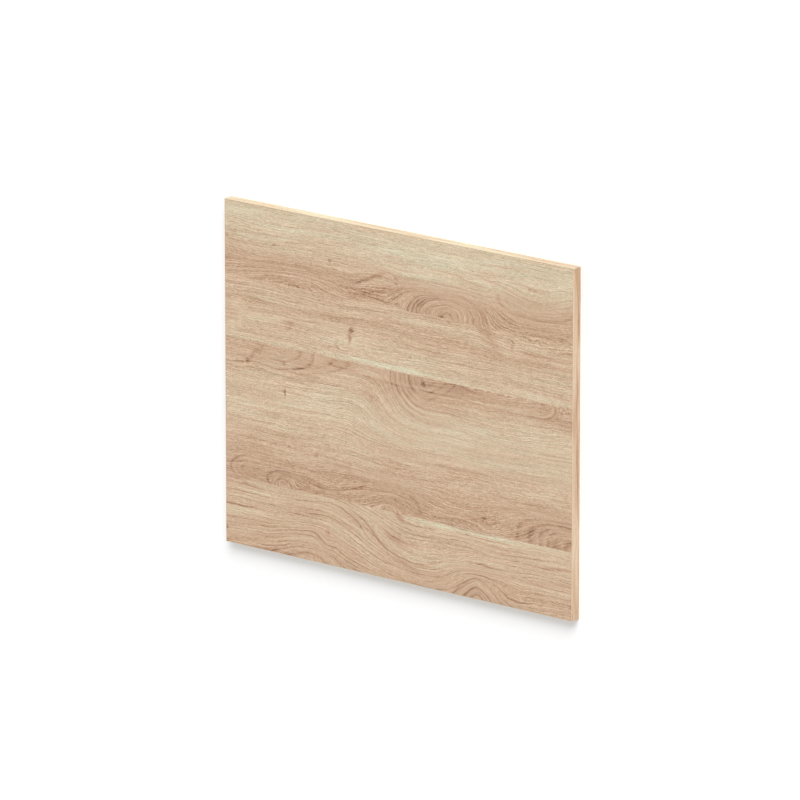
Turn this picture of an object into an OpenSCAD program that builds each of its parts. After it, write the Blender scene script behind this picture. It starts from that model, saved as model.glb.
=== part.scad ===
// Bath end panel: a board faced on both sides, with an edging strip glued along each edge.
// It lies flat with its show face up: +X is its width, +Y its height when fitted, +Z its face.
// The origin is at the middle of the underside. All sizes are in millimetres.

/* [Panel] */
// Width of the finished panel, across the end of the bath
panel_w = 700; // [600:10:900]
// Height of the finished panel, from the floor to the underside of the bath's rim
panel_h = 560; // [480:10:620]
// Thickness of the board
board_t = 18; // [12:1:25]

/* [Edging] */
// Thickness of the edging strips
edging_t = 1; // [1:0.5:2]
// Radius of the arrises, where the outside of a strip meets the panel's two faces
arris_r = 0.6; // [0.2:0.1:0.9]
// Radius of the finished panel's four corners, seen from the front
corner_r = 0.8; // [0.3:0.1:0.9]

/* [Hidden] */

// Smooth arcs for the small radii
$fn = 48;

// The bare board is what the strips leave of the finished size
board_w = panel_w - 2 * edging_t;
board_h = panel_h - 2 * edging_t;

// Rectangle centred on the origin, with its four corners rounded
module rounded_rectangle(width, height, radius) {
    square([width, height - 2 * radius], center = true);
    square([width - 2 * radius, height], center = true);
    for (side = [-1, 1], end = [-1, 1])
        translate([side * (width / 2 - radius), end * (height / 2 - radius)])
            circle(r = radius);
}

// Slab as thick as the board, lying on the floor plane
module slab(width, height) {
    translate([0, 0, board_t / 2])
        cube([width, height, board_t], center = true);
}

// Outer form of the finished panel, with the corners and the arrises trimmed round
module trimmed_form() {
    intersection() {
        // Corners, seen from the front
        linear_extrude(board_t)
            rounded_rectangle(panel_w, panel_h, corner_r);
        // Arrises of the left and right strips
        translate([0, panel_h / 2, board_t / 2])
            rotate([90, 0, 0])
                linear_extrude(panel_h)
                    rounded_rectangle(panel_w, board_t, arris_r);
        // Arrises of the top and bottom strips
        translate([-panel_w / 2, 0, board_t / 2])
            rotate([90, 0, 90])
                linear_extrude(panel_w)
                    rounded_rectangle(panel_h, board_t, arris_r);
    }
}

// Strip along a side edge, which ends flush with the board. Side is -1 for left, 1 for right.
module side_strip(side) {
    intersection() {
        trimmed_form();
        translate([side * (board_w + edging_t) / 2, 0, 0])
            slab(edging_t, board_h);
    }
}

// Strip along the top or bottom edge, lapped over the ends of both side strips.
// End is -1 for the bottom, 1 for the top.
module lapped_strip(end) {
    intersection() {
        trimmed_form();
        translate([0, end * (board_h + edging_t) / 2, 0])
            slab(panel_w, edging_t);
    }
}

module board() {
    color("#CCB297")
        slab(board_w, board_h);
}

module edging_top() {
    color("#DFC2A7")
        lapped_strip(1);
}

module edging_bottom() {
    color("#DFC2A7")
        lapped_strip(-1);
}

module edging_left() {
    color("#DCBFA4")
        side_strip(-1);
}

module edging_right() {
    color("#DCBFA4")
        side_strip(1);
}

board();
edging_top();
edging_bottom();
edging_left();
edging_right();
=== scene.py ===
"""Bath end panel: a wood-effect faced board with an edging strip along each edge, lying flat, face up.

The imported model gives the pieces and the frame, in metres: +X along the width, +Y along the height when
fitted, +Z out of the show face. Places on the decor are in millimetres from the show face's lower left
corner.
"""
import logging
import math
from dataclasses import dataclass
from enum import Enum
from typing import NamedTuple

import bmesh
import bpy
from mathutils import Matrix, Vector


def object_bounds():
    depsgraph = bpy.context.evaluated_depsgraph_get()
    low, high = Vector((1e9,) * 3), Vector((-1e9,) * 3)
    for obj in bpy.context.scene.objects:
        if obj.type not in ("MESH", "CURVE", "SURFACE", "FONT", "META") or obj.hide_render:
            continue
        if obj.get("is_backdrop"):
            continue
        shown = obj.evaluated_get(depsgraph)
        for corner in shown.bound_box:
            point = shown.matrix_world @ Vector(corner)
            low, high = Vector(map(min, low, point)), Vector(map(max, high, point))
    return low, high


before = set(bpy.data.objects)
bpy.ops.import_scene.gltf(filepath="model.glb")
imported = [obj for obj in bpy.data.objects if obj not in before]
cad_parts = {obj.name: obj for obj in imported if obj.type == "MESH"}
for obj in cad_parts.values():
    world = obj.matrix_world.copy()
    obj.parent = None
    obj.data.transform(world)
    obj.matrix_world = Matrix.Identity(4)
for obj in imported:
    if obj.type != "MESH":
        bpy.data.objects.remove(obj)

MM = 0.001
PER_MM = 1000.0
LOG = logging.getLogger("bath_end_panel")

Node = bpy.types.Node
Socket = bpy.types.NodeSocket
Value = float | tuple[float, ...] | Socket | Node


def linear(hex_colour: str) -> tuple[float, float, float, float]:
    """Turn an sRGB hex colour to linear light.

    Args:
        hex_colour: Six hex digits after a hash sign.

    Returns:
        Linear red, green and blue, with an alpha of 1.
    """
    parts = [int(hex_colour[i:i + 2], 16) / 255.0 for i in (1, 3, 5)]
    light = [c / 12.92 if c <= 0.04045 else ((c + 0.055) / 1.055) ** 2.4 for c in parts]
    return (light[0], light[1], light[2], 1.0)


def add_node(
    tree: bpy.types.NodeTree,
    kind: str,
    settings: dict[str, object] | None = None,
    links: dict[str | int, Value] | None = None,
    stops: tuple[tuple[float, str | float], ...] = (),
) -> Node:
    """Add one node with its settings and links.

    Args:
        tree: The material's or world's node tree.
        kind: Blender's name for the node.
        settings: Properties of the node by name.
        links: Inputs by name or number, each a constant, a socket, or a node whose first output feeds it.
        stops: Positions and hex colours, or plain tones, for a node that has a colour ramp.

    Returns:
        The new node.
    """
    node = tree.nodes.new(kind)
    for name, value in (settings or {}).items():
        setattr(node, name, value)
    for key, value in (links or {}).items():
        source = value.outputs[0] if isinstance(value, Node) else value
        if isinstance(source, Socket):
            tree.links.new(source, node.inputs[key])
        else:
            node.inputs[key].default_value = value
    for number, (position, colour) in enumerate(stops):
        elements = node.color_ramp.elements
        element = elements[number] if number < 2 else elements.new(position)
        element.position = position
        element.color = linear(colour) if isinstance(colour, str) else (colour, colour, colour, 1.0)
    return node


class Axis(Enum):
    """Axis that a strip's printed grain runs along."""

    WIDTH = 0
    HEIGHT = 1


@dataclass(frozen=True)
class Oval:
    """Soft-edged oval on the decor, which adds its rise at the middle and nothing at its rim.

    The centre and the two half sizes are in millimetres and the turn is in degrees. As a swell in the growth
    rings the rise is in millimetres, and as a patch of colour it is in steps of tone.
    """

    x: float
    y: float
    half_length: float
    half_width: float
    rise: float
    turn: float = 0.0


@dataclass(frozen=True)
class Slope:
    """Stretch of a plank over which its rings sink by the drop, in millimetres."""

    start: float
    end: float
    drop: float


@dataclass(frozen=True)
class Mark:
    """One drawn ring of an arch, sharp outside and soft inside.

    Attributes:
        out: Its place, as a share of the arch's size.
        width: Its width, as such a share.
        ink: Its step of tone, below zero where it is dark.
    """

    out: float
    width: float
    ink: float


@dataclass(frozen=True)
class Arch:
    """Nested rings that close round a middle, which the straight grain passes over or under.

    Attributes:
        x: Place of its middle along the plank, in millimetres.
        y: Place of its middle up the plank, in millimetres.
        left: Half length to the left of the middle, in millimetres.
        right: Half length to the right of it.
        rise: Height of the arch in millimetres, below zero where it hangs down.
        growth: Further growth from its rim to its middle, in millimetres, which crowds its rings.
        soft: How softly its flanks run out into the straight grain, in rises.
        reach: How far up or down the plank it bends the grain, in rises.
        flare: How straight its left and right flanks run, from 0 for an ellipse to 1 for a straight line.
        show: How plainly its rings show, from 0 to 1.
        upright: Whether its flanks stand upright for most of their height.
        pull: How far the straight grain gives way to it, from 0 to 1.
        marks: Rings that are drawn round it, from the middle outwards.
        sides: How plainly they show on its left and on its right.
        closed: Whether they close behind the middle, too.
    """

    x: float
    y: float
    left: float
    right: float
    rise: float
    growth: float = 0.0
    soft: float = 0.9
    reach: float = 2.6
    flare: tuple[float, float] = (0.0, 0.0)
    show: float = 1.0
    upright: bool = False
    pull: float = 1.0
    marks: tuple[Mark, ...] = ()
    sides: tuple[float, float] = (1.0, 1.0)
    closed: bool = False


@dataclass(frozen=True)
class Plank:
    """One printed plank: its lower edge, its tones from bottom to top, and the figure of its rings.

    Attributes:
        bottom: Height of its lower edge, in millimetres.
        tones: Heights in millimetres with the tone there, from 0 for the darkest to 1 for the palest.
        figure: How plainly its straight rings show, from 0 to 1.
        slopes: Long rises and falls of the rings.
        swells: Places where the rings bend round or over something.
        arches: Nested rings, such as an eye, an arch cut by the plank's edge or the rings round a knot.
        patches: Dark streaks, pale streaks and knots in the colour.
    """

    bottom: float
    tones: tuple[tuple[float, float], ...]
    figure: float = 0.0
    slopes: tuple[Slope, ...] = ()
    swells: tuple[Oval, ...] = ()
    arches: tuple[Arch, ...] = ()
    patches: tuple[Oval, ...] = ()


# The decor is four planks, listed from the top edge down.
PLANK_TOP = Plank(
    bottom=439.0,
    tones=((439, 0.47), (460, 0.46), (480, 0.56), (500, 0.67), (520, 0.76), (545, 0.84), (560, 0.78)),
    figure=0.25,
    swells=(
        Oval(628, 490, 90, 46, 16),
        Oval(150, 450, 170, 48, -14),
        Oval(300, 470, 70, 40, -10, 25),
        Oval(678, 443, 16, 12, -4),
    ),
    arches=(
        Arch(
            452, 433, 84, 80, 42, growth=6, soft=0.7, reach=1.6, show=0.1, upright=True,
            marks=(
                Mark(0.52, 0.03, -0.14), Mark(0.65, 0.025, -0.28), Mark(0.73, 0.025, -0.38),
                Mark(0.83, 0.025, -0.30), Mark(0.93, 0.025, -0.34),
            ),
            sides=(1.0, 0.3),
        ),
        Arch(440, 440, 80, 92, 44, pull=0.0, show=0.0, marks=(Mark(1.0, 0.05, -0.16),), sides=(0.0, 1.0)),
        Arch(
            625, 492, 74, 84, -28, pull=0.0, show=0.0,
            marks=(Mark(0.78, 0.04, -0.11), Mark(1.0, 0.06, -0.24)),
        ),
        Arch(160, 444, 90, 30, 12, soft=0.9, reach=2.4, pull=0.5, show=0.2),
    ),
    patches=(
        Oval(280, 450, 66, 20, -0.20, 14),
        Oval(300, 480, 58, 5.5, -0.38, 22),
        Oval(268, 467, 28, 7, -0.18, 16),
        Oval(150, 474, 110, 4.5, -0.20, 2),
        Oval(40, 457, 60, 6, -0.16, 3),
        Oval(130, 448, 120, 12, -0.08),
        Oval(178, 446, 18, 6, -0.16),
        Oval(214, 448, 15, 6, -0.20),
        Oval(420, 500, 110, 22, 0.14),
        Oval(640, 520, 120, 42, 0.08),
        Oval(460, 530, 80, 22, 0.06),
        Oval(180, 530, 130, 24, -0.06),
        Oval(392, 455, 20, 20, -0.08),
        Oval(103, 501, 9, 3.5, -0.40),
        Oval(215, 495, 7, 5, -0.55),
        Oval(221, 484, 13, 3, -0.25, -35),
        Oval(350, 486, 8, 4, -0.40),
        Oval(350, 478, 8, 3, -0.35),
        Oval(350, 446, 7, 3.5, -0.35),
        Oval(441, 441, 9, 3.5, -0.42),
        Oval(5, 501, 5, 5, -0.45),
        Oval(678, 443, 8, 7, -0.25),
    ),
)
PLANK_UPPER = Plank(
    bottom=338.0,
    tones=((338, 0.76), (352, 0.68), (372, 0.66), (400, 0.59), (420, 0.62), (439, 0.62)),
    figure=0.15,
    swells=(
        Oval(640, 420, 150, 36, 14),
        Oval(545, 424, 60, 26, 5, -38),
        Oval(260, 384, 22, 16, 5),
        Oval(580, 416, 20, 16, 5),
    ),
    patches=(
        Oval(532, 424, 56, 17, -0.20, -42),
        Oval(640, 400, 90, 9, -0.08, -6),
        Oval(440, 400, 110, 11, -0.10),
        Oval(335, 344, 190, 6, 0.34),
        Oval(259, 389, 9, 9, -0.80),
        Oval(256, 375, 5, 13, -0.55),
        Oval(581, 417, 5, 12, -0.35),
        Oval(137, 380, 9, 6, -0.25),
        Oval(130, 374, 22, 12, -0.12),
        Oval(632, 411, 60, 3.5, -0.26, -2),
        Oval(50, 398, 12, 9, -0.16),
    ),
)
PLANK_MIDDLE = Plank(
    bottom=110.0,
    tones=(
        (110, 0.45), (135, 0.44), (152, 0.50), (175, 0.61), (200, 0.63), (221, 0.71), (245, 0.74),
        (275, 0.72), (298, 0.62), (312, 0.55), (338, 0.53),
    ),
    figure=0.1,
    swells=(
        Oval(60, 305, 50, 26, -6),
        Oval(535, 112, 50, 22, 8),
    ),
    arches=(
        Arch(
            408, 336, 76, 1200, -76, growth=-16, soft=0.6, reach=1.9, flare=(0.1, 0.0), show=0.3,
            marks=(
                Mark(0.13, 0.05, -0.18), Mark(0.30, 0.04, -0.22), Mark(0.44, 0.04, -0.28),
                Mark(0.57, 0.03, -0.26), Mark(0.68, 0.03, -0.32), Mark(0.82, 0.025, -0.30),
                Mark(0.95, 0.02, -0.26),
            ),
            sides=(1.0, 0.05),
        ),
        Arch(
            408, 334, 76, 70, -40, flare=(0.0, 0.7), pull=0.0, show=0.0,
            marks=(Mark(0.32, 0.06, -0.20), Mark(0.60, 0.05, -0.28), Mark(0.90, 0.05, -0.24)),
            sides=(0.0, 1.0),
        ),
        Arch(
            636, 332, 420, 32, -20, pull=0.0, show=0.0,
            marks=(Mark(0.84, 0.07, 0.18), Mark(1.0, 0.05, -0.26)),
            sides=(0.8, 1.0),
        ),
        Arch(
            110, 334, 160, 73, -32, pull=0.0, show=0.0,
            marks=(Mark(0.60, 0.06, -0.46), Mark(1.0, 0.05, -0.56)),
            sides=(0.0, 1.0),
        ),
        Arch(
            120, 336, 160, 136, -40, flare=(0.0, 0.3), pull=0.0, show=0.0,
            marks=(Mark(0.8, 0.03, -0.18), Mark(1.0, 0.03, -0.26)),
            sides=(0.0, 1.0),
        ),
        Arch(
            55, 124, 45, 150, 24, growth=-2, soft=0.7, reach=2.0, show=0.0, pull=0.35,
            marks=(Mark(0.45, 0.08, -0.13), Mark(0.72, 0.06, -0.16), Mark(1.0, 0.06, -0.32)),
            sides=(1.0, 0.0),
            closed=True,
        ),
        Arch(
            118, 121, 30, 84, 17, soft=0.7, reach=1.8, show=0.0, pull=0.35,
            marks=(Mark(0.62, 0.08, -0.16), Mark(1.0, 0.08, -0.32)),
            sides=(1.0, 0.7),
            closed=True,
        ),
        Arch(
            119, 108, 16, 20, 22, soft=0.5, reach=1.5, flare=(0.0, 0.4), show=0.0, pull=0.4,
            marks=(Mark(0.55, 0.12, -0.19), Mark(1.0, 0.12, -0.38)),
            sides=(1.0, 0.8),
        ),
        Arch(
            335, 116, 80, 66, 34, growth=-6, soft=0.8, reach=1.8, show=0.2, pull=0.6,
            marks=(Mark(0.50, 0.06, -0.13), Mark(0.74, 0.05, -0.17), Mark(1.0, 0.05, -0.19)),
            sides=(0.6, 0.9),
        ),
        Arch(
            706, 114, 114, 90, 42, soft=0.6, reach=1.6, show=0.1, upright=True, pull=0.6,
            marks=(
                Mark(0.15, 0.06, -0.30), Mark(0.33, 0.05, -0.22), Mark(0.45, 0.05, -0.32),
                Mark(0.60, 0.05, -0.30), Mark(0.78, 0.06, -0.40), Mark(1.0, 0.04, -0.20),
            ),
        ),
    ),
    patches=(
        Oval(404, 327, 8, 7, -0.75),
        Oval(480, 330, 66, 17, -0.22, 6),
        Oval(378, 320, 14, 28, -0.12, 10),
        Oval(350, 318, 50, 26, -0.06),
        Oval(122, 312, 7, 6, -0.35),
        Oval(47, 305, 9, 7, -0.45, 30),
        Oval(124, 265, 4, 9, -0.8),
        Oval(120, 266, 9, 3, -0.3),
        Oval(642, 335, 11, 4, -0.4),
        Oval(62, 321, 28, 7, -0.26, 48),
        Oval(74, 326, 20, 5, -0.20, 60),
        Oval(170, 318, 40, 20, -0.08),
        Oval(645, 291, 6, 4, -0.2),
        Oval(300, 290, 30, 6, -0.2, -22),
        Oval(500, 303, 80, 4, 0.10),
        Oval(600, 290, 140, 50, 0.06),
        Oval(480, 200, 110, 22, -0.14),
        Oval(350, 180, 80, 26, -0.10),
        Oval(188, 175, 8, 8, -0.30),
        Oval(526, 134, 9, 4, -0.50),
        Oval(520, 128, 60, 9, -0.12, 8),
        Oval(585, 120, 46, 12, -0.10),
        Oval(118, 118, 24, 11, -0.12),
        Oval(265, 153, 60, 9, -0.12),
    ),
)
PLANK_FOOT = Plank(
    bottom=-10.0,
    tones=((0, 0.50), (25, 0.56), (50, 0.61), (75, 0.62), (98, 0.68), (110, 0.70)),
    figure=0.9,
    slopes=(Slope(190, 400, 36),),
    swells=(
        Oval(400, 34, 150, 70, 16),
        Oval(640, 60, 190, 90, -8),
        Oval(172, 14, 100, 60, -24),
        Oval(206, 34, 24, 26, 9),
        Oval(176, 46, 22, 18, -4),
    ),
    arches=(
        Arch(
            512, -2, 50, 52, 40, growth=8, soft=0.8, reach=1.6, flare=(0.45, 0.4), pull=0.9,
            marks=(Mark(0.34, 0.09, -0.26), Mark(0.58, 0.07, -0.34), Mark(1.0, 0.05, -0.24)),
            sides=(1.0, 0.7),
        ),
    ),
    patches=(
        Oval(435, 106, 100, 5.5, 0.34),
        Oval(550, 105, 100, 5.0, 0.30),
        Oval(212, 52, 8, 9, -0.25),
        Oval(0, 25, 7, 9, -0.6),
        Oval(340, 42, 100, 7, -0.20, -22),
        Oval(400, 34, 70, 5, -0.20),
        Oval(628, 46, 40, 4.0, -0.20, 2),
        Oval(80, 3, 100, 4, -0.2, 1),
        Oval(180, 78, 40, 4, -0.16),
    ),
)
PLANKS = (PLANK_TOP, PLANK_UPPER, PLANK_MIDDLE, PLANK_FOOT)

# Tones of the print, from the ink of a knot to pale sapwood, which is greener than it is redder.
WOOD_INKS = ((0.0, "#8F6F57"), (0.28, "#BA967A"), (0.60, "#CEB093"), (0.78, "#D6C1A3"), (1.0, "#DBD1B4"))
# A step of tone in the fine grain, which changes no hue.
FINE_INK = "#C6B7A6"


@dataclass(frozen=True)
class Grain:
    """One layer of streaks along the grain.

    Attributes:
        length: Length of a typical streak, in millimetres.
        width: Width of a typical streak, in millimetres.
        detail: How many finer layers lie on it.
        ink: Its depth, in steps of tone.
        relief: Its share of the relief of the surface.
    """

    length: float
    width: float
    detail: float
    ink: float
    relief: float


@dataclass(frozen=True)
class Bend:
    """Slow bend of the grain: the length and width of its waves and its whole swing, in millimetres."""

    length: float
    width: float
    swing: float


class Spot(NamedTuple):
    """Place on the decor, with the ways in which the grain bends there.

    Attributes:
        place: The place, in millimetres.
        ragged: The same place torn a little, for the edges of knots and patches.
        across: Its height up the panel, in millimetres.
        bend: How far the grain is bent up or down there, in millimetres.
        along: Place along the planks, in millimetres, bent as the grain is.
        up: Place up the planks, in millimetres, bent as the grain is.
        wear: How strongly the drawn rings are inked there.
    """

    place: Value
    ragged: Value
    across: Value
    bend: Value
    along: Value
    up: Value
    wear: Value


class Wood(NamedTuple):
    """What the decor shows at a place.

    Attributes:
        rings: Growth in millimetres, the same all along a ring.
        tone: Tone, from 0 for the darkest ink to 1 for the palest.
        figure: How plainly the rings show, from 0 to 1.
        calm: How calm the fine grain is, from 0 to 1.
    """

    rings: Value
    tone: Value
    figure: Value
    calm: Value


@dataclass
class Print:
    """Node tree of one printed surface, with the steps that the board and the strips share.

    Attributes:
        material: The material that the tree belongs to.
        streak_roughness: How strongly each finer layer of a streak shows.
        specular: Specular level of the satin skin, a little under that of bare plastic.
    """

    material: bpy.types.Material
    streak_roughness: float = 0.55
    specular: float = 0.4

    def __post_init__(self) -> None:
        """Start from an empty tree."""
        self.material.use_nodes = True
        self.tree = self.material.node_tree
        self.tree.nodes.clear()

    def add(
        self,
        kind: str,
        settings: dict[str, object] | None = None,
        links: dict[str | int, Value] | None = None,
        stops: tuple[tuple[float, str | float], ...] = (),
    ) -> Node:
        """Add one node to this tree and return it."""
        return add_node(self.tree, kind, settings, links, stops)

    def calc(self, operation: str, *values: Value) -> Node:
        """Work out one sum of the values and return its result."""
        return self.add("ShaderNodeMath", {"operation": operation}, dict(enumerate(values)))

    def blend(self, share: Value, first: Value, second: Value) -> Node:
        """Blend from the first value to the second as the share goes from 0 to 1."""
        return self.add("ShaderNodeMix", {"data_type": "FLOAT"}, {0: share, 2: first, 3: second})

    def spread(self, texture: Value, span: float) -> Node:
        """Spread a texture over a span, with its middle at nought."""
        return self.calc("MULTIPLY_ADD", texture, span, -0.5 * span)

    def ease(self, value: Value, start: float, end: float, low: float, high: float) -> Node:
        """Turn a stretch of a value into a smooth change.

        Args:
            value: The value to read.
            start: Where the change begins.
            end: Where the change ends.
            low: Result at the start and before it.
            high: Result at the end and after it.

        Returns:
            The eased value.
        """
        links = {0: value, 1: start, 2: end, 3: low, 4: high}
        return self.add("ShaderNodeMapRange", {"interpolation_type": "SMOOTHSTEP"}, links)

    def streaks(self, place: Value, rings: Value, length: float, width: float, detail: float = 0.0) -> Node:
        """Draw streaks that lie along the growth rings.

        Args:
            place: Place on the surface, in millimetres.
            rings: Growth in millimetres, the same all along a ring.
            length: Length of a typical streak, in millimetres.
            width: Width of a typical streak, in millimetres.
            detail: How many finer layers lie on it.

        Returns:
            A value from about 0 to 1, with a middle of 0.5.
        """
        step = self.add("ShaderNodeCombineXYZ", links={2: self.calc("DIVIDE", rings, width)})
        point = self.add(
            "ShaderNodeVectorMath",
            {"operation": "MULTIPLY_ADD"},
            {0: place, 1: (1.0 / length, 1.0 / length, 0.0), 2: step},
        )
        return self.add(
            "ShaderNodeTexNoise",
            links={"Vector": point, "Scale": 1.0, "Detail": detail, "Roughness": self.streak_roughness},
        )

    def coat(self, colour: Value, height: Value, relief: float, roughness: Value, ior: float) -> None:
        """Cover the print with its satin skin.

        Args:
            colour: Colour of the print.
            height: Height of the skin, from 0 to about 1.
            relief: What a height of 1 stands for, in millimetres.
            roughness: Roughness of the skin.
            ior: Its index of refraction.
        """
        bump = self.add("ShaderNodeBump", {}, {"Strength": 1.0, "Distance": relief * MM, "Height": height})
        skin = self.add(
            "ShaderNodeBsdfPrincipled",
            {},
            {
                "Base Color": colour,
                "Roughness": roughness,
                "IOR": ior,
                "Specular IOR Level": self.specular,
                "Normal": bump,
            },
        )
        self.add("ShaderNodeOutputMaterial", {}, {0: skin})


@dataclass(frozen=True)
class FacedBoard:
    """Melamine-faced chipboard: paper printed with the decor, soaked in resin and pressed on a grained plate.

    The plate leaves fine pores in a hard satin skin, so the gloss is even and low.

    Attributes:
        name: Name of the material.
        relief: Depth of the pores, in millimetres.
        roughness: Roughness of the skin where the relief is 1.
        polish: How much smoother it is at the bottom of a pore.
        ior: Index of refraction of the resin.
        back_shift: How much further along and up the roll the back's decor is cut, in millimetres.
        bends: Slow bends of the grain up and down the planks, so that no line is ruler straight.
        drift: Slow bend of the grain along them.
        tear: How far the edges of knots and patches are torn, along and up, in millimetres.
        tears_per_mm: How closely the tears follow each other.
        plank_shift: How far apart two planks were cut, in millimetres of growth for each of height.
        follow: How far the long tones follow the bends of the grain, from 0 to 1.
        flank_share: Share of an arch's half lengths over which its left side turns into its right.
        flank_limit: The most that this may be on either side, in millimetres.
        mark_range: How far from an arch's middle its marks may reach, as a share of its size.
        mark_gap: The least distance between two marks, as such a share.
        ring_width: Distance between two lines of late wood, in millimetres of growth.
        late_ink: Step of tone of a line of late wood.
        joint_ink: Step of tone of the dark hairline where the board meets the edging.
        broad_grains: Slow streaks of tone.
        fine_grains: Fine streaks, which also make the relief.
    """

    name: str = "melamine_faced_board"
    relief: float = 0.12
    roughness: float = 0.47
    polish: float = 0.06
    ior: float = 1.5
    back_shift: tuple[float, float] = (180.0, -60.0)
    bends: tuple[Bend, ...] = (Bend(160.0, 70.0, 14.0), Bend(50.0, 26.0, 3.0), Bend(16.0, 12.0, 2.4))
    drift: Bend = Bend(46.0, 30.0, 8.0)
    tear: tuple[float, float, float] = (9.0, 6.0, 0.0)
    tears_per_mm: float = 0.09
    plank_shift: float = 7.3
    follow: float = 0.6
    flank_share: float = 0.4
    flank_limit: float = 60.0
    mark_range: float = 1.25
    mark_gap: float = 0.002
    ring_width: float = 8.0
    late_ink: float = -0.5
    joint_ink: float = -0.20
    broad_grains: tuple[Grain, ...] = (
        Grain(200.0, 26.0, 1.0, 0.25, 0.0),
        Grain(120.0, 9.0, 0.0, 0.12, 0.0),
    )
    fine_grains: tuple[Grain, ...] = (
        Grain(180.0, 0.85, 0.0, 0.62, 0.3),
        Grain(50.0, 0.75, 0.0, 0.46, 0.3),
        Grain(9.0, 0.60, 0.0, 0.66, 0.6),
        Grain(3.0, 0.50, 0.0, 0.78, 0.4),
    )

    def ovals(self, paper: Print, place: Value, start: Value, ovals: tuple[Oval, ...]) -> Value:
        """Add each oval's rise to a value.

        Args:
            paper: The print that the nodes go into.
            place: Place on the decor, in millimetres.
            start: The value to begin from.
            ovals: The ovals to add.

        Returns:
            The value with every rise added.
        """
        total = start
        for oval in ovals:
            local = paper.add(
                "ShaderNodeMapping",
                {"vector_type": "TEXTURE"},
                {
                    "Vector": place,
                    "Location": (oval.x, oval.y, 0.0),
                    "Rotation": (0.0, 0.0, math.radians(oval.turn)),
                    "Scale": (oval.half_length, oval.half_width, 1.0),
                },
            )
            fade = paper.add("ShaderNodeTexGradient", {"gradient_type": "SPHERICAL"}, {"Vector": local})
            total = paper.calc("ADD", total, paper.ease(fade.outputs["Fac"], 0.0, 1.0, 0.0, oval.rise))
        return total

    def measure(self, paper: Print, spot: Spot, arch: Arch) -> tuple[Value, Value]:
        """Measure a place from an arch's middle.

        Args:
            paper: The print that the nodes go into.
            spot: The place.
            arch: The arch.

        Returns:
            Height above the middle in rises, and distance from it as a share of the arch's size.
        """
        side = paper.calc("SUBTRACT", spot.along, arch.x)
        right = paper.calc("DIVIDE", side, arch.right)
        left = paper.calc("DIVIDE", side, -arch.left)
        side = paper.calc("MAXIMUM", right, left)
        up = paper.calc("DIVIDE", paper.calc("SUBTRACT", spot.up, arch.y), arch.rise)
        height = paper.calc("MULTIPLY", up, paper.calc("ABSOLUTE", up)) if arch.upright else up
        local = paper.add("ShaderNodeCombineXYZ", {}, {0: side, 1: height})
        out = paper.add("ShaderNodeVectorMath", {"operation": "LENGTH"}, {0: local}).outputs["Value"]
        if any(arch.flare):
            straight = paper.calc("ADD", side, paper.calc("ABSOLUTE", up))
            out = paper.blend(self.flank(paper, spot, arch, arch.flare), out, straight)
        return up, out

    def flank(self, paper: Print, spot: Spot, arch: Arch, ends: tuple[float, float]) -> Node:
        """Change smoothly from a value on an arch's left to a value on its right.

        Args:
            paper: The print that the nodes go into.
            spot: The place.
            arch: The arch.
            ends: The values on its left and on its right.

        Returns:
            The value at the place.
        """
        left, right = (min(self.flank_share * half, self.flank_limit) for half in (arch.left, arch.right))
        return paper.ease(spot.along, arch.x - left, arch.x + right, *ends)

    def close_rings(self, paper: Print, up: Value, out: Value, grown: Value, arch: Arch) -> Value:
        """Close a plank's rings round an arch's middle.

        Args:
            paper: The print that the nodes go into.
            up: Height above the middle, in rises.
            out: Distance from the middle, as a share of the arch's size.
            grown: The plank's rings without the arch.
            arch: The arch.

        Returns:
            The plank's rings with it.
        """
        # The straight grain is lifted by the difference between its own height and its ring's
        lift = paper.calc("SUBTRACT", paper.calc("ADD", up, 1.0), out)
        lift = paper.calc("SMOOTH_MAX", lift, 0.0, arch.soft)
        fade = paper.ease(up, start=0.8, end=arch.reach, low=arch.pull * arch.rise, high=0.0)
        lift = paper.calc("MULTIPLY", lift, fade)
        crowd = paper.calc("MAXIMUM", paper.calc("SUBTRACT", 1.0, out), 0.0)
        lift = paper.calc("MULTIPLY_ADD", crowd, arch.growth, lift)
        return paper.calc("SUBTRACT", grown, lift)

    def draw_marks(self, paper: Print, spot: Spot, up: Value, out: Value, arch: Arch) -> Value:
        """Draw the rings of an arch.

        Args:
            paper: The print that the nodes go into.
            spot: The place.
            up: Its height above the arch's middle, in rises.
            out: Its distance from the middle, as a share of the arch's size.
            arch: The arch.

        Returns:
            The step of tone.
        """
        # A colour ramp holds only positions and tones from 0 to 1, so no ink is the middle tone
        no_ink = 0.5
        scale = 1.0 / self.mark_range
        stops = [(0.0, no_ink)]
        for mark in arch.marks:
            start = max(mark.out - 2.0 * mark.width, stops[-1][0] / scale + self.mark_gap)
            stops.append((scale * start, no_ink))
            stops.append((scale * mark.out, no_ink + mark.ink))
            stops.append((scale * (mark.out + mark.width), no_ink))
        ring = paper.add("ShaderNodeValToRGB", {}, {0: paper.calc("MULTIPLY", out, scale)}, tuple(stops))
        step = paper.calc("SUBTRACT", ring, no_ink)
        step = paper.calc("MULTIPLY", step, self.flank(paper, spot, arch, arch.sides))
        if arch.closed:
            return step
        return paper.calc("MULTIPLY", step, paper.ease(up, start=-0.4, end=0.1, low=0.0, high=1.0))

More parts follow.
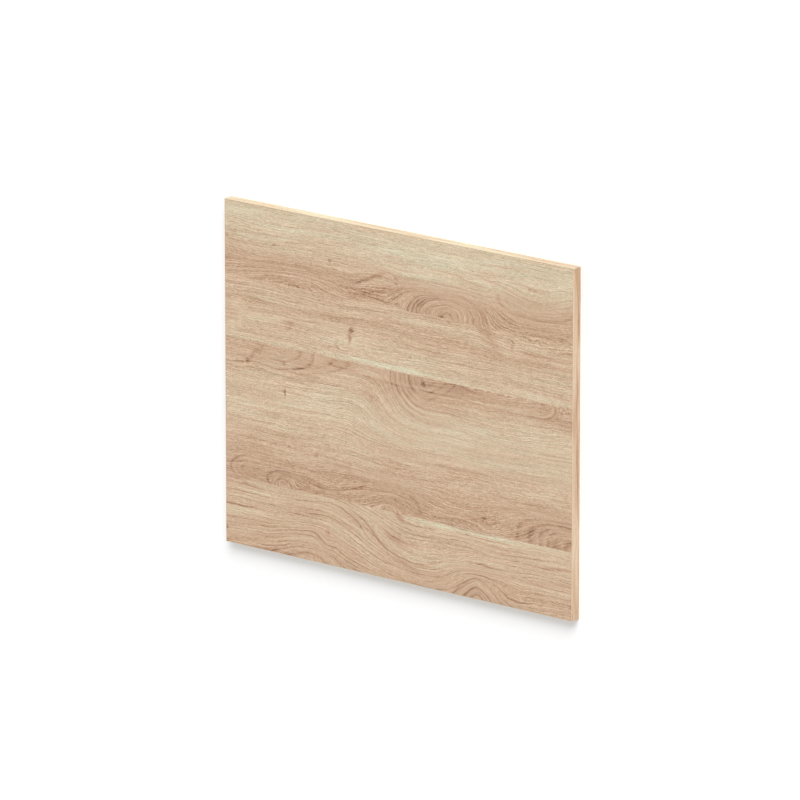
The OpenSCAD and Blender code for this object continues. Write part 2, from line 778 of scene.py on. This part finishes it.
    def print_plank(self, paper: Print, spot: Spot, plank: Plank) -> Wood:
        """Print one plank, as if it covered the whole panel.

        Args:
            paper: The print that the nodes go into.
            spot: The place.
            plank: The plank.

        Returns:
            What the plank shows at the place.
        """
        grown = self.ovals(paper, spot.place, spot.up, plank.swells)
        for slope in plank.slopes:
            sunk = paper.ease(spot.along, slope.start, slope.end, 0.0, slope.drop)
            grown = paper.calc("ADD", grown, sunk)
        shown = plank.figure
        calm = 0.0
        drawn = 0.0
        for arch in plank.arches:
            up, out = self.measure(paper, spot, arch)
            if arch.pull:
                grown = self.close_rings(paper, up, out, grown, arch)
            if arch.show:
                near = paper.ease(out, start=0.7, end=1.6, low=arch.show, high=0.0)
                shown = paper.calc("MAXIMUM", shown, near)
            if arch.marks:
                drawn = paper.calc("ADD", drawn, self.draw_marks(paper, spot, up, out, arch))
                inside = paper.ease(out, start=0.9, end=1.3, low=1.0, high=0.0)
                inside = paper.calc("MULTIPLY", inside, self.flank(paper, spot, arch, arch.sides))
                calm = paper.calc("MAXIMUM", calm, inside)
        # Each plank was cut from another place, so its streaks start elsewhere
        grown = paper.calc("ADD", grown, plank.bottom * self.plank_shift)

        level = paper.calc("MULTIPLY_ADD", spot.bend, self.follow, spot.across)
        low, high = plank.tones[0][0], plank.tones[-1][0]
        share = paper.add("ShaderNodeMapRange", {}, {0: level, 1: low, 2: high})
        stops = tuple(((height - low) / (high - low), tone) for height, tone in plank.tones)
        tone = paper.add("ShaderNodeValToRGB", {}, {0: share}, stops)
        tone = self.ovals(paper, spot.ragged, tone, plank.patches)
        tone = paper.calc("MULTIPLY_ADD", drawn, spot.wear, tone)
        return Wood(grown, tone, shown, calm)

    def join_planks(self, paper: Print, spot: Spot) -> Wood:
        """Print the planks one above the other.

        Args:
            paper: The print that the nodes go into.
            spot: The place.

        Returns:
            What the decor shows at the place.
        """
        wood = self.print_plank(paper, spot, PLANKS[-1])
        for plank in reversed(PLANKS[:-1]):
            above = paper.calc("GREATER_THAN", spot.across, plank.bottom)
            upper = self.print_plank(paper, spot, plank)
            wood = Wood(*(paper.blend(above, below, over) for below, over in zip(wood, upper)))
        return wood

    def cut(self, paper: Print, coordinates: Value, start: tuple[float, float], mirror: float) -> Node:
        """Cut one face's decor from the roll.

        Args:
            paper: The print that the nodes go into.
            coordinates: Place on the board, in metres.
            start: Place on the decor at the middle of the panel, in millimetres.
            mirror: 1 for the show face, or -1 for the back, which is seen from the other side.

        Returns:
            Place on the decor, in millimetres.
        """
        return paper.add(
            "ShaderNodeMapping",
            {"vector_type": "POINT"},
            {"Vector": coordinates, "Location": (*start, 0.0), "Scale": (mirror * PER_MM, PER_MM, 0.0)},
        )

    def bend_grain(self, paper: Print, place: Value) -> Spot:
        """Bend the grain and tear the edges of what is drawn on it.

        Args:
            paper: The print that the nodes go into.
            place: Place on the decor, in millimetres.

        Returns:
            The place with its bends.
        """
        along, across, _ = paper.add("ShaderNodeSeparateXYZ", links={0: place}).outputs
        bend = 0.0
        for wave in self.bends:
            texture = paper.streaks(place, across, wave.length, wave.width)
            bend = paper.calc("ADD", bend, paper.spread(texture, wave.swing))
        drift = paper.streaks(place, across, self.drift.length, self.drift.width)
        drift = paper.spread(drift, self.drift.swing)
        noise = paper.add(
            "ShaderNodeTexNoise",
            {},
            {"Vector": place, "Scale": self.tears_per_mm, "Detail": 1.0},
        )
        torn = paper.add(
            "ShaderNodeVectorMath",
            {"operation": "MULTIPLY_ADD"},
            {0: noise.outputs["Color"], 1: self.tear, 2: tuple(-0.5 * size for size in self.tear)},
        )
        # Drawn rings fade and darken along their length
        wear = paper.streaks(place, across, length=26.0, width=12.0)
        return Spot(
            place=place,
            ragged=paper.add("ShaderNodeVectorMath", {"operation": "ADD"}, {0: place, 1: torn}),
            across=across,
            bend=bend,
            along=paper.calc("ADD", along, drift),
            up=paper.calc("ADD", across, bend),
            wear=paper.ease(wear, start=0.34, end=0.62, low=0.55, high=1.20),
        )

    def late_wood(self, paper: Print, place: Value, wood: Wood) -> Node:
        """Draw the thin dark line of late wood that each ring ends in.

        Args:
            paper: The print that the nodes go into.
            place: Place on the decor, in millimetres.
            wood: What the planks show there.

        Returns:
            The step of tone.
        """
        # No two rings are as wide or as dark
        drift = paper.streaks(place, wood.rings, length=180.0, width=24.0)
        drift = paper.calc("MULTIPLY", drift, 4.0)
        phase = paper.calc("MULTIPLY_ADD", wood.rings, 1.0 / self.ring_width, drift)
        line = paper.calc("PINGPONG", phase, 0.5)
        line = paper.ease(line, start=0.0, end=0.17, low=self.late_ink, high=0.0)
        depth = paper.streaks(place, wood.rings, length=80.0, width=7.0)
        depth = paper.ease(depth, start=0.34, end=0.64, low=0.15, high=1.0)
        depth = paper.calc("MULTIPLY", depth, paper.calc("MULTIPLY_ADD", wood.figure, 0.85, 0.15))
        return paper.calc("MULTIPLY", line, depth)

    def joint(self, paper: Print, coordinates: Value, half: tuple[float, float]) -> Node:
        """Draw the joint with the edging, a dark hairline that is drawn wider than it is so that it shows.

        Args:
            paper: The print that the nodes go into.
            coordinates: Place on the board, in metres from its middle.
            half: Half the board's own width and height, in millimetres.

        Returns:
            The step of tone.
        """
        parts = paper.add("ShaderNodeSeparateXYZ", links={0: coordinates}).outputs
        inset_x, inset_y = (
            paper.calc("MULTIPLY_ADD", paper.calc("ABSOLUTE", part), -PER_MM, size)
            for part, size in zip(parts, half)
        )
        inset = paper.calc("MINIMUM", inset_x, inset_y)
        return paper.ease(inset, start=0.2, end=1.3, low=self.joint_ink, high=0.0)

    def make(self, width: float, height: float, half: tuple[float, float, float]) -> bpy.types.Material:
        """Make the board's material.

        Args:
            width: Width of the finished panel, in millimetres.
            height: Height of the finished panel, in millimetres.
            half: Half the board's own width, height and thickness, in millimetres.

        Returns:
            The material.
        """
        paper = Print(bpy.data.materials.new(self.name))
        coordinates = paper.add("ShaderNodeTexCoord").outputs["Object"]
        front = self.cut(paper, coordinates, (width / 2, height / 2), 1.0)
        # The back is faced from the same roll, a little further along
        start = (width / 2 + self.back_shift[0], height / 2 + self.back_shift[1])
        back = self.cut(paper, coordinates, start, -1.0)
        over_floor = paper.add("ShaderNodeSeparateXYZ", links={0: coordinates}).outputs["Z"]
        under = paper.calc("LESS_THAN", over_floor, half[2] * MM)
        place = paper.add("ShaderNodeMix", {"data_type": "VECTOR"}, {0: under, 4: front, 5: back}).outputs[1]

        spot = self.bend_grain(paper, place)
        wood = self.join_planks(paper, spot)
        tone = paper.calc("ADD", wood.tone, self.late_wood(paper, place, wood))
        tone = paper.calc("ADD", tone, self.joint(paper, coordinates, half[:2]))
        # Pale sapwood lies in long low patches
        pale = paper.streaks(place, wood.rings, length=85.0, width=10.0)
        tone = paper.calc("ADD", tone, paper.ease(pale, start=0.50, end=0.80, low=0.0, high=0.10))
        for grain in self.broad_grains:
            texture = paper.streaks(place, wood.rings, grain.length, grain.width, grain.detail)
            tone = paper.calc("ADD", tone, paper.spread(texture, grain.ink))

        fine = 0.0
        pores = 0.0
        for grain in self.fine_grains:
            texture = paper.streaks(place, wood.rings, grain.length, grain.width, grain.detail)
            fine = paper.calc("ADD", fine, paper.spread(texture, grain.ink))
            pores = paper.calc("MULTIPLY_ADD", texture, grain.relief, pores)
        # The fine grain is quieter where the rings show plainly, and inside an arch
        contrast = paper.calc("MULTIPLY_ADD", wood.figure, -0.25, 1.15)
        contrast = paper.calc("MULTIPLY_ADD", wood.calm, -0.35, contrast)
        fine = paper.calc("MULTIPLY", fine, contrast)
        colour = paper.add(
            "ShaderNodeVectorMath",
            {"operation": "MULTIPLY_ADD"},
            {0: linear(FINE_INK)[:3], 1: fine, 2: paper.add("ShaderNodeValToRGB", {}, {0: tone}, WOOD_INKS)},
        )
        roughness = paper.calc("MULTIPLY_ADD", pores, self.polish, self.roughness - self.polish)
        paper.coat(colour, pores, self.relief, roughness, self.ior)
        return paper.material


@dataclass(frozen=True)
class EdgingStrip:
    """ABS edging strip: extruded plastic, printed along its length, glued on and trimmed round.

    The print lies on the outer face under a thin satin lacquer. The trimmer cut through it along both
    corners, where the plain body of the strip shows.

    Attributes:
        name: Name of the material.
        axis: Axis that the strip runs along.
        inks: Tones of the print with their hex colours, from dark to pale.
        body: Hex colour of the plain plastic.
        fade: Painted shade, in steps of tone: how much darker the print is painted at the back, toward the
            floor, than at the middle, and how much lighter at the front.
        relief: Depth of the relief in the lacquer, in millimetres.
        roughness: Roughness of the lacquer.
        ior: Index of refraction of the plastic.
        wave: Slow bend of the printed grain.
        grains: Layers of streaks in the print.
    """

    name: str
    axis: Axis
    inks: tuple[tuple[float, str], ...]
    body: str
    fade: float = 0.0
    relief: float = 0.04
    roughness: float = 0.40
    ior: float = 1.53
    wave: Bend = Bend(120.0, 1.0, 22.0)
    grains: tuple[Grain, ...] = (
        Grain(200.0, 12.0, 1.0, 1.60, 0.0),
        Grain(120.0, 4.0, 1.0, 1.00, 0.3),
        Grain(50.0, 1.6, 0.0, 0.55, 0.5),
        Grain(9.0, 0.9, 0.0, 0.40, 0.5),
    )

    def make(self, thickness: float, arris: float) -> bpy.types.Material:
        """Make the strip's material.

        Args:
            thickness: Thickness of the panel, in millimetres.
            arris: Radius of the trimmed corners, in millimetres.

        Returns:
            The material.
        """
        paper = Print(bpy.data.materials.new(self.name))
        coordinates = paper.add("ShaderNodeTexCoord").outputs["Object"]
        place = paper.add(
            "ShaderNodeMapping",
            {"vector_type": "POINT"},
            {"Vector": coordinates, "Scale": (PER_MM, PER_MM, PER_MM)},
        )
        parts = paper.add("ShaderNodeSeparateXYZ", links={0: place}).outputs
        over_floor = parts[2]
        length = paper.add("ShaderNodeCombineXYZ", links={0: parts[self.axis.value]})
        wave = paper.streaks(length, 0.0, self.wave.length, self.wave.width, 1.0)
        rings = paper.calc("MULTIPLY_ADD", wave, self.wave.swing, over_floor)
        # Painted shade: the print is painted a little darker toward the back, by the floor, and lighter
        # toward the front
        tone = paper.ease(over_floor, 0.0, thickness, 0.5 - self.fade, 0.5 + self.fade)
        height = 0.0
        for grain in self.grains:
            texture = paper.streaks(length, rings, grain.length, grain.width, grain.detail)
            tone = paper.calc("ADD", tone, paper.spread(texture, grain.ink))
            height = paper.calc("MULTIPLY_ADD", texture, grain.relief, height)
        printed = paper.add("ShaderNodeValToRGB", {}, {0: tone}, self.inks)
        off_middle = paper.calc("ABSOLUTE", paper.calc("SUBTRACT", over_floor, thickness / 2))
        rim = thickness / 2 - arris
        trimmed = paper.ease(off_middle, start=rim, end=rim + 0.5 * arris, low=0.0, high=1.0)
        colour = paper.add(
            "ShaderNodeMix",
            {"data_type": "RGBA"},
            {0: trimmed, 6: printed, 7: linear(self.body)},
        ).outputs[2]
        paper.coat(colour, height, self.relief, self.roughness, self.ior)
        return paper.material


# The strips are one stock, each printed along its own length. Their different inks and body colours are
# painted light: the level strips' yellower, greener ones copy the top edge in the bright key light, and the
# upright ones copy the right edge in less light.
LEVEL_STRIP_LIT_TINT = EdgingStrip(
    name="abs_edging_level_lit_tint",
    axis=Axis.WIDTH,
    inks=((0.0, "#B88D6F"), (0.20, "#CEAA8B"), (0.45, "#D7C3A2"), (1.0, "#DFD9B6")),
    body="#D8C7A8",
)
UPRIGHT_STRIP = EdgingStrip(
    name="abs_edging_upright",
    axis=Axis.HEIGHT,
    inks=((0.0, "#A98464"), (0.3, "#C8A382"), (0.55, "#D8BA9B"), (1.0, "#E7D1B5")),
    body="#DFC5A8",
    # Painted shade on the upright strips: darker toward the floor, lighter toward the show face
    fade=0.06,
)


@dataclass
class Studio:
    """Pale floor, soft light and the camera.

    Attributes:
        azimuth: Direction of the camera from the panel, in degrees from +X towards +Y.
        elevation: Its angle above the show face, in degrees.
        distance: Its distance from the place that it looks at, in metres.
        lens: Its focal length, in millimetres.
        sight: How far it sees, in metres.
        aim: The place on the show face that it looks at, in metres.
        sky: Strength of the sky on the panel.
        key: Direction towards the key lamp, as long as the lamp is strong.
        floor_half_width: Half the width of the floor, in metres.
        floor_lift: Glow that turns the lit floor white to the camera.
        light_angle: Width of the key lamp in the sky, in degrees, which softens the shadow.
    """

    azimuth: float = 23.09
    elevation: float = 48.03
    distance: float = 13.712
    lens: float = 397.66
    sight: float = 100.0
    aim: tuple[float, float] = (0.0076, 0.0137)
    sky: float = 0.585
    key: tuple[float, float, float] = (0.25, 0.545, 0.385)
    floor_half_width: float = 20.0
    floor_lift: float = 0.07
    light_angle: float = 40.0

    def build(self, face_height: float) -> None:
        """Build the floor, the lights and the camera.

        Args:
            face_height: Height of the show face above the floor, in metres.
        """
        self.lay_floor()
        self.light()
        self.place_camera(face_height)

    def lay_floor(self) -> None:
        """Lay a large matt white floor just under the panel."""
        form = bmesh.new()
        bmesh.ops.create_grid(form, x_segments=1, y_segments=1, size=self.floor_half_width)
        mesh = bpy.data.meshes.new("floor")
        form.to_mesh(mesh)
        form.free()
        floor = bpy.data.objects.new("floor", mesh)
        bpy.context.scene.collection.objects.link(floor)
        material = bpy.data.materials.new("matt_white_floor")
        material.use_nodes = True
        material.node_tree.nodes.clear()
        tree = material.node_tree
        matt = add_node(tree, "ShaderNodeBsdfDiffuse", {}, {"Color": linear("#FFFFFF")})
        # Only the camera sees the lift that turns the lit floor white, so it lights nothing
        seen = add_node(tree, "ShaderNodeLightPath").outputs["Is Camera Ray"]
        lift = add_node(tree, "ShaderNodeMath", {"operation": "MULTIPLY"}, {0: seen, 1: self.floor_lift})
        white = add_node(tree, "ShaderNodeEmission", {}, {"Color": linear("#FFFFFF"), "Strength": lift})
        both = add_node(tree, "ShaderNodeAddShader", {}, {0: matt, 1: white})
        add_node(tree, "ShaderNodeOutputMaterial", {}, {0: both})
        mesh.materials.append(material)
        floor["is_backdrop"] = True

    def light(self) -> None:
        """Light the panel from an even white sky and one soft key lamp."""
        scene = bpy.context.scene
        world = bpy.data.worlds.new("even_sky")
        world.use_nodes = True
        tree = world.node_tree
        tree.nodes.clear()
        path = add_node(tree, "ShaderNodeLightPath")
        seen = add_node(
            tree,
            "ShaderNodeMath",
            {"operation": "MAXIMUM"},
            {0: path.outputs["Is Camera Ray"], 1: path.outputs["Is Glossy Ray"]},
        )
        strength = add_node(tree, "ShaderNodeMapRange", {}, {0: seen, 3: self.sky, 4: 1.0})
        sky = add_node(tree, "ShaderNodeBackground", {}, {"Color": linear("#FFFFFF"), "Strength": strength})
        add_node(tree, "ShaderNodeOutputWorld", {}, {0: sky})
        scene.world = world
        scene.view_settings.view_transform = "Standard"
        toward = Vector(self.key)
        lamp = bpy.data.lights.new("key", "SUN")
        lamp.energy = math.pi * toward.length
        lamp.angle = math.radians(self.light_angle)
        key = bpy.data.objects.new("key", lamp)
        key.rotation_euler = toward.to_track_quat("Z", "Y").to_euler()
        scene.collection.objects.link(key)

    def place_camera(self, face_height: float) -> None:
        """Place the camera where the photograph was taken from, with the panel's height upwards.

        Args:
            face_height: Height of the show face above the floor, in metres.
        """
        azimuth = math.radians(self.azimuth)
        elevation = math.radians(self.elevation)
        toward = Vector((
            math.cos(elevation) * math.cos(azimuth),
            math.cos(elevation) * math.sin(azimuth),
            math.sin(elevation),
        ))
        right = Vector((0.0, 1.0, 0.0)).cross(toward).normalized()
        up = toward.cross(right)
        data = bpy.data.cameras.new("camera")
        data.lens = self.lens
        data.clip_end = self.sight
        camera = bpy.data.objects.new("camera", data)
        place = Vector((self.aim[0], self.aim[1], face_height)) + toward * self.distance
        turn = [[right[i], up[i], toward[i]] for i in range(3)]
        camera.matrix_world = Matrix.Translation(place) @ Matrix(turn).to_4x4()
        bpy.context.scene.collection.objects.link(camera)
        bpy.context.scene.camera = camera


@dataclass
class Panel:
    """The finished panel: the faced board and its four edging strips.

    Attributes:
        low: Lowest corner of the panel's box, in metres.
        high: Highest corner of the panel's box, in metres.
        arris: Radius of the trimmed corners of the strips, in millimetres.
        board: Finish of the board.
        ends: Finish of the top and bottom strips, tinted yellower to paint the bright light on the top edge.
        sides: Finish of the left and right strips.
    """

    low: Vector
    high: Vector
    arris: float = 0.6
    board: FacedBoard = FacedBoard()
    ends: EdgingStrip = LEVEL_STRIP_LIT_TINT
    sides: EdgingStrip = UPRIGHT_STRIP

    def dress(self) -> None:
        """Give each piece its finish."""
        width = (self.high.x - self.low.x) * PER_MM
        height = (self.high.y - self.low.y) * PER_MM
        thickness = (self.high.z - self.low.z) * PER_MM
        corners = [Vector(corner) * PER_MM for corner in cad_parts["board"].bound_box]
        half = tuple((max(c[i] for c in corners) - min(c[i] for c in corners)) / 2 for i in range(3))
        self.finish("board", self.board.make(width, height, half))
        side = self.sides.make(thickness, self.arris)
        end = self.ends.make(thickness, self.arris)
        for name in ("edging_left", "edging_right"):
            self.finish(name, side)
        for name in ("edging_top", "edging_bottom"):
            self.finish(name, end)

    def finish(self, name: str, material: bpy.types.Material) -> None:
        """Put a material on a piece's every slot and report it.

        Args:
            name: The piece's node.
            material: Its finish.
        """
        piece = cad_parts[name]
        for slot in piece.material_slots:
            slot.material = material
        LOG.info("%s: %s", name, material.name)


def main() -> None:
    """Build the scene and dress each piece."""
    logging.basicConfig(level=logging.INFO, format="%(name)s: %(message)s")
    cad_low, cad_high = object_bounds()
    Studio().build(cad_high.z)
    Panel(cad_low, cad_high).dress()


if __name__ == "__main__":
    main()
